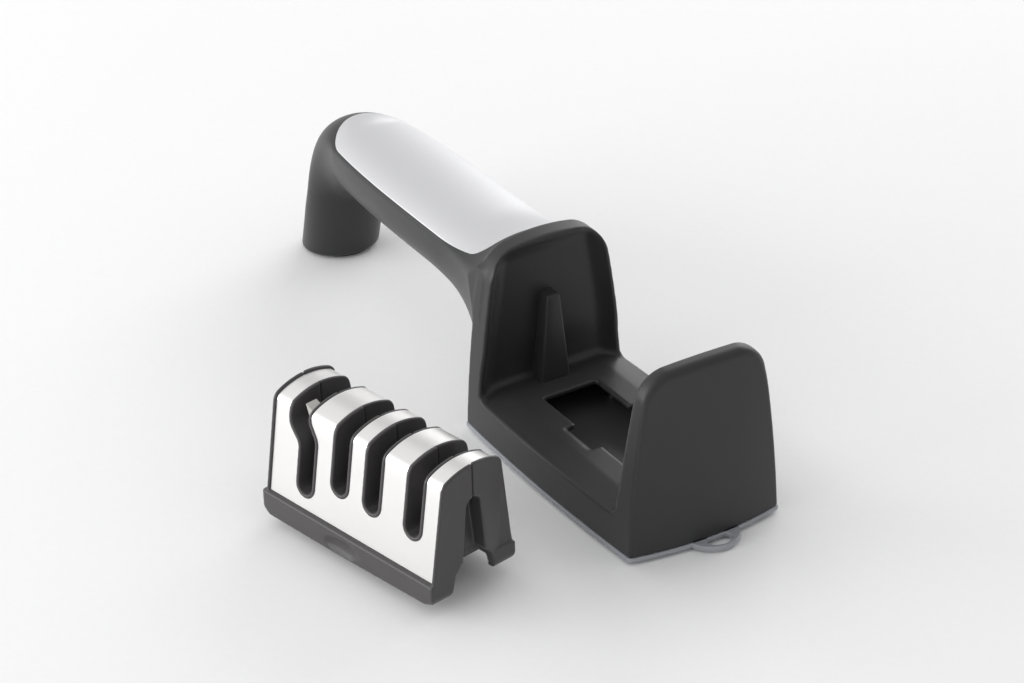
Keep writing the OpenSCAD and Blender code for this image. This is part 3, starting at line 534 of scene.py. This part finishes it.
panel_stations = [panel_start + panel_corner * t for t in (0, 0.02, 0.06, 0.13, 0.25, 0.45, 0.7, 1.0)]
panel_stations += list(np.linspace(panel_start + panel_corner, panel_end - panel_round, 40)[1:])
panel_stations += [panel_end - panel_round * (1 - math.sin(math.radians(a))) for a in range(5, 88, 5)]
panel_points = []
panel_faces = []
for s in panel_stations:
    w = panel_half(s)
    row = [w * math.sin(math.radians(90 * (2 * j / panel_across - 1))) for j in range(panel_across + 1)]
    panel_points += [panel_point(s, y, panel_over) for y in row]
    panel_points += [panel_point(s, y, panel_under) for y in reversed(row)]
ring = 2 * (panel_across + 1)
for i in range(len(panel_stations) - 1):
    for j in range(ring):
        k = (j + 1) % ring
        a = i * ring
        panel_faces.append((a + j, a + k, a + ring + k, a + ring + j))
panel_faces.append(tuple(range(ring - 1, -1, -1)))
panel_faces.append(tuple((len(panel_stations) - 1) * ring + j for j in range(ring)))
panel = piece_from("grip_panel", panel_points, panel_faces)
modified(panel, ("BEVEL", {
    "width": 0.0004, "segments": 3, "limit_method": "ANGLE", "angle_limit": math.radians(50)}))
panel.data.shade_smooth()
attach(panel, "base")
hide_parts("handle_inlay")

# Silver lacquer: fine metal flakes in a satin coat
silver, tree, place = new_material("satin_silver_lacquer")
flake = noise(tree, place, 7000.0, 2.0)
finish_material(tree, {"Metallic": 0.55, "Roughness": 0.42, "IOR": 1.5}, {
    "Base Color": two_tone(tree, flake, "#d2d2d4", "#e1e1e3"),
    "Normal": relief(tree, flake, 0.12, 0.00003),
})
panel.data.materials.append(silver)


# Pad with hanging loop
# A translucent grey soft pad under the whole cradle, on a slightly smaller foot, moulded with a thin
# loop to hang it by.
pad_half_length = 44.7
pad_half_width = 25.6
pad_round = 1.6
pad_front_bow = 2.9
pad_side_bow = 1.3
loop_x = 44.5
loop_y = 1.8
loop_radius = 8.5
loop_root = 43.6
hole_x = 49.2


def outline_mesh(name, rings, low, high, bevel):
    """A flat plate between two heights from outlines in millimetres: the outer one, then its holes."""
    curve = bpy.data.curves.new(name, "CURVE")
    curve.dimensions = "2D"
    curve.fill_mode = "BOTH"
    for points in rings:
        spline = curve.splines.new("POLY")
        spline.points.add(len(points) - 1)
        for spot, (x, y) in zip(spline.points, points):
            spot.co = (x * 0.001, y * 0.001, 0, 1)
        spline.use_cyclic_u = True
    curve.extrude = (high - low) * 0.0005 - bevel * 0.001
    curve.bevel_depth = bevel * 0.001
    curve.bevel_resolution = 2
    curve.offset = -bevel * 0.001
    drawn = linked(name, curve)
    bpy.context.view_layer.update()
    graph = bpy.context.evaluated_depsgraph_get()
    mesh = bpy.data.meshes.new_from_object(drawn.evaluated_get(graph))
    mesh.transform(Matrix.Translation((0, 0, (low + high) * 0.0005)))
    bpy.data.objects.remove(drawn)
    return mesh


def arc(cx, cy, rx, ry, start, end, n):
    """Points on an arc of an ellipse, its ends given in degrees."""
    steps = [math.radians(start + (end - start) * i / n) for i in range(n + 1)]
    return [(cx + rx * math.cos(a), cy + ry * math.sin(a)) for a in steps]


def pad_turn(x, y, start):
    """A rounded corner of the pad."""
    return arc(x, y, pad_round, pad_round, start, start + 60, 4)


pad_x = pad_half_length - pad_round
pad_y = pad_half_width - pad_round
pad_steps = [i / 10 for i in range(-10, 11)]
pad_outline = [(pad_half_length + pad_front_bow * (1 - t * t), pad_y * t) for t in pad_steps]
pad_outline += pad_turn(pad_x, pad_y, 15)
pad_outline += [(-pad_x * t, pad_half_width + pad_side_bow * (1 - t * t)) for t in pad_steps]
pad_outline += pad_turn(-pad_x, pad_y, 105)
pad_outline += [(-pad_half_length, -pad_y * t) for t in pad_steps]
pad_outline += pad_turn(-pad_x, -pad_y, 195)
pad_outline += [(pad_x * t, -pad_half_width - pad_side_bow * (1 - t * t)) for t in pad_steps]
pad_outline += pad_turn(pad_x, -pad_y, 285)
foot_outline = [(x * 0.966, y * 0.942) for x, y in pad_outline]
loop_outline = [(loop_root, loop_y - loop_radius)]
loop_outline += arc(loop_x, loop_y, loop_radius, loop_radius, -90, 90, 28)
loop_outline += [(loop_root, loop_y + loop_radius)]
loop_hole = arc(hole_x, loop_y, 2.7, 3.9, 0, 360, 32)[:-1]
pad = linked("soft_pad", outline_mesh("pad", [pad_outline], 0.9, pad_top, 0.35))
pad_foot = linked("pad_foot", outline_mesh("foot", [foot_outline], 0.0, 1.1, 0.1))
loop = linked("hanging_loop", outline_mesh("loop", [loop_outline, loop_hole], 0.5, pad_top, 0.35))
for made in (pad, pad_foot, loop):
    made.data.shade_smooth()
    made.data.set_sharp_from_angle(angle=math.radians(40))
    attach(made, "base")
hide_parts("base_pad")

# Soft clear plastic, greyed and a little cloudy
clear, tree, place = new_material("clear_soft_plastic")
cloud = noise(tree, place, 900.0, 2.0)
finish_material(tree, {"Roughness": 0.35, "IOR": 1.48, "Transmission Weight": 0.3}, {
    "Base Color": two_tone(tree, cloud, "#a6a9af", "#b4b7bd"),
    "Normal": relief(tree, cloud, 0.1, 0.00005),
})
for made in (pad, pad_foot, loop):
    made.data.materials.append(clear)


# Bottom plate, its screws and the foot plug
# The black plate shows through the tray's opening. Zinc-plated screws hold it, and a rubber plug closes
# the leg.
black_plastic = grained_plastic(
    "black_moulded_plastic", "#413f40", "#474546", 0.36, 4200.0, 0.00004, 0.05, 1.4)
rubber = grained_plastic("black_rubber", "#1e1e1f", "#262627", 0.7, 2600.0, 0.00012, 0.1)
zinc, tree, place = new_material("zinc_plated_steel")
spangle = noise(tree, place, 2500.0, 2.0)
finish_material(tree, {"Base Color": linear("#a9abad"), "Metallic": 1.0}, {
    "Roughness": between(tree, spangle, 0.28, 0.42),
})


def dress(material, *names):
    """Give CAD nodes their material."""
    for name in names:
        nodes[name].data.materials.clear()
        nodes[name].data.materials.append(material)


dress(black_plastic, "bottom_plate")
dress(zinc, "bottom_screws")
dress(rubber, "foot_plug")


# Cartridge halves
# Two black mouldings that meet on the middle plane. They carry the flange, the raised lips round the
# blade slots, the rims at both ends of the steel, the grooves for the ribs and the snap tongues.
cart_half = 35.15
cart_height = 39.4
flange_half = 16.3
flange_height = 8.0
half_tail = 1.0
face_lean = math.radians(8.9)
face_foot = 14.9
crown_radius = 22.0
shoulder_radius = 3.0
steel_thick = 0.5
end_rim = 1.1
slot_lip = 1.15
slot_half = 2.85
slot_top = 47.0
knife_slots = (-5.6, 7.7, 24.5)
knife_floor = 18.2
scissor_floor = 12.5
scissor_x = -19.5
mouth_x = scissor_x - 4.2
mouth_half = 3.45
neck_low = 27.0
neck_rise = 4.6
neck_skew = 2.5
neck_round = 4.0
groove_depth = 5.2
groove_top = 26.75
groove_radius = 2.65
groove_low_half = 4.4
channel_low = 7.4
channel_high = 10.6
tongue_half_length = 6.75
tongue_drop = 3.3
seam_gap = 0.12

# Where the leaning face, the shoulder and the crown of the cover run into one another
crown_middle = cart_height - crown_radius
lean = math.tan(face_lean)
reach = face_foot + flange_height * lean - shoulder_radius / math.cos(face_lean)
root = reach * lean + crown_middle
rest = reach * reach + crown_middle ** 2 - (crown_radius - shoulder_radius) ** 2
shoulder_z = (root + math.sqrt(root * root - (1 + lean * lean) * rest)) / (1 + lean * lean)
shoulder_y = reach - shoulder_z * lean
crown_turn = math.atan2(shoulder_z - crown_middle, shoulder_y)


def cover_field(y, z):
    """Distance outside the steel cover's outer face."""
    y = np.abs(y) - shoulder_y
    up = z - shoulder_z
    flat = y * math.cos(face_lean) + up * math.sin(face_lean) - shoulder_radius
    along = up * math.cos(face_lean) - y * math.sin(face_lean)
    past = up * math.cos(crown_turn) - y * math.sin(crown_turn)
    bent = np.hypot(y, up) - shoulder_radius
    crown = np.hypot(y + shoulder_y, z - crown_middle) - crown_radius
    return np.where(along < 0, flat, np.where(past > 0, crown, bent))


def polygon_field(x, y, corners):
    """Signed distance to a closed polygon, negative inside."""
    best = np.full(np.shape(x), 1e9)
    sign = np.ones(np.shape(x))
    for (ax, ay), (bx, by) in zip(corners, corners[1:] + corners[:1]):
        ex = bx - ax
        ey = by - ay
        t = np.clip(((x - ax) * ex + (y - ay) * ey) / (ex * ex + ey * ey), 0, 1)
        best = np.minimum(best, np.hypot(x - ax - t * ex, y - ay - t * ey))
        passed = ((ay > y) != (by > y)) & (x < ex * (y - ay) / (ey if ey else 1e-9) + ax)
        sign = np.where(passed, -sign, sign)
    return best * sign


def filleted(corners, n=6):
    """A closed outline whose corners (x, y, radius) are rounded."""
    spots = []
    for i, (x, y, r) in enumerate(corners):
        if r == 0:
            spots.append((x, y))
            continue
        here = Vector((x, y))
        before = (Vector(corners[i - 1][:2]) - here).normalized()
        after = (Vector(corners[(i + 1) % len(corners)][:2]) - here).normalized()
        inner = (before + after).normalized()
        half = math.acos(max(-1.0, min(1.0, inner.dot(before))))
        middle = here + inner * (r / math.sin(half))
        start = here + before * (r / math.tan(half)) - middle
        end = here + after * (r / math.tan(half)) - middle
        turn = start.angle_signed(end)
        for k in range(n + 1):
            a = -turn * k / n
            spots.append((middle.x + start.x * math.cos(a) - start.y * math.sin(a),
                          middle.y + start.x * math.sin(a) + start.y * math.cos(a)))
    return spots


# The scissor slot above its round floor, with the jog to its wider mouth
scissor_low = scissor_floor + slot_half
scissor_upper = filleted([
    (scissor_x + slot_half, scissor_low, 0),
    (scissor_x + slot_half, neck_low + neck_skew, neck_round),
    (mouth_x + mouth_half, neck_low + neck_skew + neck_rise, neck_round),
    (mouth_x + mouth_half, slot_top, 0),
    (mouth_x - mouth_half, slot_top, 0),
    (mouth_x - mouth_half, neck_low + neck_rise, neck_round),
    (scissor_x - slot_half, neck_low, neck_round),
    (scissor_x - slot_half, scissor_low, 0),
])


def slot_field(x, z):
    """Distance outside the four blade slots, seen from the long face."""
    scissor_foot = np.hypot(x - scissor_x, z - scissor_low) - slot_half
    best = np.minimum(polygon_field(x, z, scissor_upper), scissor_foot)
    low = knife_floor + slot_half
    for at in knife_slots:
        one = np.where(z > low, np.abs(x - at), np.hypot(x - at, z - low)) - slot_half
        best = np.minimum(best, one)
    return best


def near_set_back(y, z):
    """How far the rear half's near end is set back, more so lower down."""
    return 0.06 * np.clip(y - 2.0, 0, 8.5) * (1 + 0.1 * np.clip(36.0 - z, 0, 26.0))


def upper_field(x, y, z, slot, set_back):
    """The body inside the steel, the rims at its ends and the raised lips round the slots."""
    cover = cover_field(y, z)
    along = np.abs(x) + set_back
    core = np.maximum(cover + steel_thick, along - cart_half + 0.3)
    rim = np.maximum(along - cart_half, cart_half - end_rim - along)
    rim = round_max(cover - np.where(y > 0, 0.75, 0.6), rim, 0.5)
    lip_rise = 0.35 - 0.2 * ease((z - 34.0) / 3.0)
    lip = round_max(cover - lip_rise, slot - slot_lip, 0.4)
    return np.maximum(np.minimum(np.minimum(core, rim), lip), flange_height - 1.0 - z)


def flange_field(x, y, z, set_back):
    """The flange: it runs on past the far rim, its ledge slopes, and its lower edges are round."""
    corner = np.where(x > 0, 0.6, 2.0)
    past_end = np.abs(x + half_tail) - cart_half - half_tail + corner + np.minimum(set_back, 1.25)
    past_side = np.abs(y) - flange_half + corner
    plan = np.hypot(np.maximum(past_end, 0), np.maximum(past_side, 0)) - corner
    plan = plan + np.minimum(np.maximum(past_end, past_side), 0)
    outwards = np.maximum(0, np.maximum(np.abs(y) - face_foot, -cart_half - x))
    ledge = z - flange_height + 0.1 + 0.45 * outwards
    foot_round = 0.6 + 2.0 * ease((-33.1 - x) / 3.0) + 2.2 * ease((x - 31.0) / 4.0)
    low = np.maximum(0, 0.02 * (x + 5)) + np.where(y > 0, 1.0, 0) * ease((x - 5.0) / 25.0)
    return round_max(round_max(plan, ledge, 0.6), low - z, foot_round)


def hollow_field(x, y, z):
    """The channel along the underside and the pockets beside it."""
    wide = np.interp(z, [1.0, 3.2, 7.8, channel_high], [8.2, 8.1, 6.9, groove_low_half])
    ceiling = np.where(np.abs(x) < cart_half - groove_depth, channel_low, channel_high)
    channel = round_max(np.abs(y) - wide, z - ceiling, 0.8)
    pocket = np.maximum(np.abs(y) - flange_half + 3.0, np.abs(np.abs(x) - 20.45) - 10.7)
    return np.minimum(channel, np.maximum(pocket, z - 6.0))


def groove_field(x, y, z):
    """The upright groove in each end, narrower and round at its top."""
    half = np.interp(z, [10.0, groove_top], [groove_low_half, groove_radius])
    groove = np.where(z > groove_top, np.hypot(y, z - groove_top) - groove_radius, np.abs(y) - half)
    return round_max(np.maximum(groove, 9.0 - z), cart_half - groove_depth - np.abs(x), 0.5)


def dent_field(x, y, z):
    """The finger dent in each side of the flange, from 0 at its middle to 1 at its edge."""
    return np.sqrt(((x + 2.4) / 7.75) ** 2 + ((np.abs(y) - 17.3) / 2.4) ** 2 + ((z - 3.2) / 3.0) ** 2)


def tongue_field(x, y, z):
    """The two snap tongues with their barbs, under the flange."""
    side = np.abs(y)
    past = np.abs(x) - tongue_half_length
    tongue = np.maximum(np.abs(side - 10.2) - 0.8, past)
    barb = np.maximum(np.abs(side - 10.9) - 0.9 + 0.4 * np.abs(z + 1.9), past)
    hook = np.minimum(tongue, np.maximum(barb, np.abs(z + 2.3) - 0.8))
    return np.maximum(hook, np.maximum(-tongue_drop - z, z - 2.0))


def cartridge_field(x, y, z):
    """Both halves together, with slots, hollows, dents and tongues."""
    slot = slot_field(x, z)
    set_back = np.where(x > 0, near_set_back(y, z), 0)
    solid = np.minimum(upper_field(x, y, z, slot, set_back), flange_field(x, y, z, set_back))
    solid = round_max(solid, np.where(y > 0, 0.3, 0.0) - slot, 0.4)
    solid = round_max(solid, -hollow_field(x, y, z), 0.6)
    solid = round_max(solid, -groove_field(x, y, z), 0.5)
    solid = round_max(solid, (1 - dent_field(x, y, z)) * 2.4, 0.3)
    return np.minimum(solid, tongue_field(x, y, z))


def front_field(x, y, z):
    return round_max(cartridge_field(x, y, z), y + seam_gap, 0.4)


def rear_field(x, y, z):
    return round_max(cartridge_field(x, y, z), seam_gap - y, 0.4)


stand_place = (-0.2, -76.1, tongue_drop)
stand_turn = math.radians(12.0)
cartridge_place = Matrix.Translation([c * 0.001 for c in stand_place]) @ Matrix.Rotation(stand_turn, 4, "Z")
half_x = np.arange(-38.2, 36.2, 0.4)
half_z = np.arange(-4.2, 41.4, 0.4)
for name, field, half_y, node in (
        ("cartridge_front", front_field, np.arange(-17.4, 0.8, 0.4), "cartridge_front_half"),
        ("cartridge_rear", rear_field, np.arange(-0.8, 17.5, 0.4), "cartridge_rear_half")):
    points, quads = net_mesh(field, half_x, half_y, half_z)
    made = piece_from(name, points, quads, cartridge_place)
    made.data.materials.append(black_plastic)
    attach(made, "cartridge")
    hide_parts(node)


# Steel cover
# One bent sheet of stainless steel over both long faces and the crown, pierced for the slots' lips.
cover_low = 8.0
cover_half_length = cart_half - end_rim - 0.1
lip_width = 1.2
sheet_end = 0.0335


def cover_outline(out, low, n):
    """Half of the cover's cross-section from foot to crown, a distance outside its outer face."""
    foot = face_foot + (flange_height - low) * lean + out / math.cos(face_lean)
    bend = shoulder_radius + out
    top = (shoulder_y + bend * math.cos(face_lean), shoulder_z + bend * math.sin(face_lean))
    first = math.degrees(face_lean)
    last = math.degrees(crown_turn)
    spots = [(mix(foot, top[0], t), mix(low, top[1], t)) for t in (0, 0.2, 0.4, 0.6, 0.8)]
    spots += arc(shoulder_y, shoulder_z, bend, bend, first, last, n)
    spots += arc(0, crown_middle, crown_radius + out, crown_radius + out, last, 90, n)[1:]
    return spots


def prism(name, corners, low, high, turn):
    """A closed prism from corners in a plane, run between two distances along the third axis."""
    n = len(corners)
    points = [turn(a, b, t) for t in (low, high) for a, b in corners]
    faces = [tuple(range(n)), tuple(range(2 * n - 1, n - 1, -1))]
    faces += [(n + j, n + (j + 1) % n, (j + 1) % n, j) for j in range(n)]
    return piece_from(name, points, faces)


def grown(corners, out):
    """A closed outline moved outwards along its corners' normals."""
    n = len(corners)
    moved = []
    for i in range(n):
        (ax, ay), (bx, by), (cx, cy) = corners[i - 1], corners[i], corners[(i + 1) % n]
        one = Vector((by - ay, ax - bx)).normalized()
        two = Vector((cy - by, bx - cx)).normalized()
        way = (one + two).normalized()
        stretch = out / max(0.3, way.dot(one))
        moved.append((bx + way.x * stretch, by + way.y * stretch))
    return moved


def slot_foot(at, low):
    """The round lower end of a slot, from its left side to its right."""
    return arc(at, low, slot_half, slot_half, 180, 360, 20)


outer = cover_outline(0.0, cover_low, 10)
inner = cover_outline(-steel_thick, cover_low, 10)
sheet_corners = outer + [(-y, z) for y, z in reversed(outer[:-1])]
sheet_corners += [(-y, z) for y, z in inner] + inner[-2::-1]
cover = prism(
    "steel_sheet", sheet_corners, -cover_half_length, cover_half_length, lambda a, b, t: (t, a, b))
openings = [slot_foot(scissor_x, scissor_low)[:-1] + scissor_upper[:-1]]
for at in knife_slots:
    sides = [(at + slot_half, slot_top), (at - slot_half, slot_top)]
    openings.append(slot_foot(at, knife_floor + slot_half) + sides)
for corners in openings:
    cutter = prism("cutter", grown(corners, lip_width), -20.0, 20.0, lambda a, b, t: (a, -t, b))
    modified(cover, ("BOOLEAN", {"operation": "DIFFERENCE", "object": cutter, "solver": "EXACT"}))
    bpy.data.objects.remove(cutter)
# The sheet's near end follows the rear half where that is set back by more than its rim
for spot in cover.data.vertices:
    if spot.co.x > sheet_end:
        spot.co.x -= 0.001 * max(0.0, near_set_back(spot.co.y * 1000, spot.co.z * 1000) - end_rim)
cover.data.transform(cartridge_place)
cover.data.shade_smooth()
cover.data.set_sharp_from_angle(angle=math.radians(35))
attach(cover, "cartridge")
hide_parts("steel_cover")

# Brushed stainless steel: long fine scratches along the cartridge
steel, tree, place = new_material("brushed_stainless_steel")
turned = add_node(tree, "ShaderNodeMapping", {
    "vector_type": "TEXTURE", "Rotation": (0, 0, stand_turn), "Scale": (0.02, 0.0004, 0.0004),
}, {"Vector": place})
scratch = noise(tree, turned.outputs["Vector"], 1.0, 4.0, 0.65)
finish_material(tree, {"Base Color": linear("#efeeed"), "Metallic": 1.0}, {
    "Roughness": between(tree, scratch, 0.24, 0.4),
    "Normal": relief(tree, scratch, 0.08, 0.00003),
})
cover.data.materials.append(steel)


# Sharpening stages
# Diamond-coated rods, ground carbide plates and white ceramic rods cross inside the knife slots, each
# pair in its own black carrier. A pale ceramic bar leans across the scissor slot.

def gritty(name, colour, light, metallic, roughness, grain, depth):
    """A hard surface with grit of one size."""
    made, tree, place = new_material(name)
    grit = add_node(tree, "ShaderNodeTexVoronoi", {"Scale": grain}, {"Vector": place}).outputs["Distance"]
    finish_material(tree, {"Metallic": metallic, "Roughness": roughness}, {
        "Base Color": two_tone(tree, grit, light, colour),
        "Normal": relief(tree, grit, 0.4, depth),
    })
    return made


diamond = gritty("diamond_coated_steel", "#5d6064", "#9a9da1", 0.7, 0.45, 6000.0, 0.00008)
carbide = gritty("ground_carbide", "#7d8186", "#94989d", 1.0, 0.3, 4000.0, 0.00002)
white_ceramic = gritty("white_ceramic", "#e6e2d9", "#f3f0ea", 0.0, 0.35, 5000.0, 0.00002)
grey_ceramic = gritty("grey_ceramic", "#a9a7a2", "#c3c1bc", 0.0, 0.6, 4500.0, 0.00004)
dress(diamond, "coarse_rod_left", "coarse_rod_right")
dress(carbide, "carbide_plate_left", "carbide_plate_right")
dress(white_ceramic, "fine_rod_left", "fine_rod_right")
dress(grey_ceramic, "scissor_stone")
dress(black_plastic, "coarse_carrier", "medium_carrier", "fine_carrier")
dress(zinc, "cartridge_screws")


# Floor and light
# A white paper floor in a pale room, with four soft lights: a low and a high one on the left, and two
# behind.
floor_half = 4.0
floor_z = -0.0002
floor_mesh = bpy.data.meshes.new("floor")
floor_mesh.from_pydata([
    (-floor_half, -floor_half, floor_z), (floor_half, -floor_half, floor_z),
    (floor_half, floor_half, floor_z), (-floor_half, floor_half, floor_z),
], [], [(0, 1, 2, 3)])
floor = linked("floor", floor_mesh)
paper, tree, place = new_material("white_paper")
fibre = noise(tree, place, 400.0, 2.0)
finish_material(tree, {"Roughness": 0.8}, {"Base Color": two_tone(tree, fibre, "#f4f4f4", "#f7f7f7")})
floor_mesh.materials.append(paper)

world = bpy.data.worlds.new("studio")
world.use_nodes = True
tree = world.node_tree
tree.nodes.clear()
path = add_node(tree, "ShaderNodeLightPath")
lit = add_node(tree, "ShaderNodeBackground", {"Color": (1, 1, 1, 1), "Strength": 0.6})
seen = add_node(tree, "ShaderNodeBackground", {"Color": linear("#f4f4f4"), "Strength": 1.0})
both = add_node(tree, "ShaderNodeMixShader", links={0: path.outputs["Is Camera Ray"]})
tree.links.new(lit.outputs[0], both.inputs[1])
tree.links.new(seen.outputs[0], both.inputs[2])
add_node(tree, "ShaderNodeOutputWorld", links={"Surface": both.outputs[0]})
bpy.context.scene.world = world
scene_middle = Vector((-0.04, -0.03, 0.02))


def soft_light(name, at, size, watts):
    """A rectangular softbox that looks at the middle of the scene."""
    data = bpy.data.lights.new(name, "AREA")
    data.shape = "RECTANGLE"
    data.size = size[0]
    data.size_y = size[1]
    data.energy = watts
    lamp = linked(name, data)
    lamp.location = at
    lamp.rotation_euler = (scene_middle - Vector(at)).to_track_quat("-Z", "Y").to_euler()


soft_light("left_low_softbox", (-0.45, -1.2, 0.35), (1.4, 0.7), 11.5)
soft_light("rear_right_softbox", (-0.6, 1.1, 0.6), (1.2, 0.9), 7.5)
soft_light("rear_left_softbox", (-0.9, -0.3, 0.9), (1.0, 1.0), 1.0)
soft_light("left_high_softbox", (-0.2, -1.0, 0.9), (1.2, 0.9), 2.5)
bpy.context.scene.view_settings.view_transform = "Standard"
bpy.context.scene.view_settings.look = "None"
